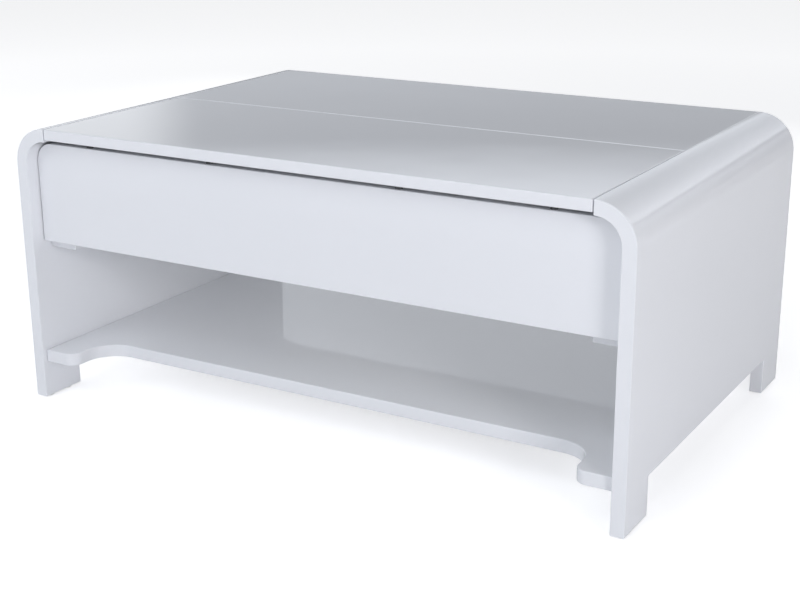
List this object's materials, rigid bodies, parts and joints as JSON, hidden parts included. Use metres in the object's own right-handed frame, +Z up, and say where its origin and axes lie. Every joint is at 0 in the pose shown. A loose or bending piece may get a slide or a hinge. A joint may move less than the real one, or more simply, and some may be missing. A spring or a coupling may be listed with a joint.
{
  "type": "lift top coffee table",
  "caption": "Gloss white coffee table with bent end panels, an open lower shelf and a top whose front half lifts level and forwards over a storage compartment.",
  "frame": {"origin": "on the floor, under the middle of the table", "axes": "+X to the right along the length, +Y to the back, +Z up"},
  "size_m": [0.9, 0.588, 0.393],
  "materials": {
    "white_lacquer": "white high-gloss lacquer on board",
    "melamine_board": "satin white melamine on board",
    "white_plastic": "moulded",
    "soft_bumper": "matt black rubber",
    "zinc_casting": "cast, dull",
    "zinc_plated_steel": "bright zinc plate",
    "beech": "fluted, unfinished",
    "black_steel": "satin black powder coat",
    "grey_steel": "satin grey powder coat",
    "nylon": "natural nylon",
    "spring_steel": "oiled spring wire"
  },
  "bodies": {
    "carcass": {"side_panel_left": "white_lacquer", "side_panel_right": "white_lacquer", "front_apron": "white_lacquer", "rear_apron": "white_lacquer", "seam_rail": "white_lacquer", "storage_floor": "melamine_board", "cleat_left": "white_lacquer", "cleat_right": "white_lacquer", "lower_shelf": "white_lacquer", "rear_top": "white_lacquer", "foot_glides": "white_plastic", "lid_bumpers": "soft_bumper", "cam_locks": "zinc_casting", "cam_bolts": "zinc_plated_steel", "dowels": "beech", "cleat_screws": "zinc_plated_steel", "floor_screws": "zinc_plated_steel", "base_bracket_left": "black_steel", "base_bracket_right": "black_steel", "base_bracket_screws": "zinc_plated_steel", "base_pins": "zinc_plated_steel", "base_washers": "nylon", "stop_pegs": "zinc_plated_steel", "spring_bushes": "nylon", "torsion_spring_left": "spring_steel", "torsion_spring_right": "spring_steel"},
    "lift_arms": {"main_arm_left": "grey_steel", "main_arm_right": "grey_steel", "sync_tube": "black_steel", "sync_tube_screws": "zinc_plated_steel", "spring_leg_left": "spring_steel", "spring_leg_right": "spring_steel"},
    "control_arms": {"control_arm_left": "grey_steel", "control_arm_right": "grey_steel"},
    "lifting_top": {"lid": "white_lacquer", "top_bracket_left": "black_steel", "top_bracket_right": "black_steel", "top_bracket_screws": "zinc_plated_steel", "top_pins": "zinc_plated_steel", "top_washers": "nylon"}
  },
  "joints": [
    {"name": "lid_lift", "type": "hinge", "parent": "carcass", "child": "lift_arms", "pos_m": [0, -0.199, 0.321], "axis": [1, 0, 0], "range_deg": [0, 105]},
    {"name": "control_arm_swing", "type": "hinge", "parent": "carcass", "child": "control_arms", "pos_m": [0, -0.23674, 0.34551], "axis": [1, 0, 0], "range_deg": [0, 105]},
    {"name": "lid_level", "type": "hinge", "parent": "lift_arms", "child": "lifting_top", "pos_m": [0, -0.02765, 0.33599], "axis": [1, 0, 0], "range_deg": [-105, 0]}
  ],
  "couplings": [
    {"joint": "control_arm_swing", "follows": "lid_lift", "ratio": 1},
    {"joint": "lid_level", "follows": "lid_lift", "ratio": -1}
  ]
}
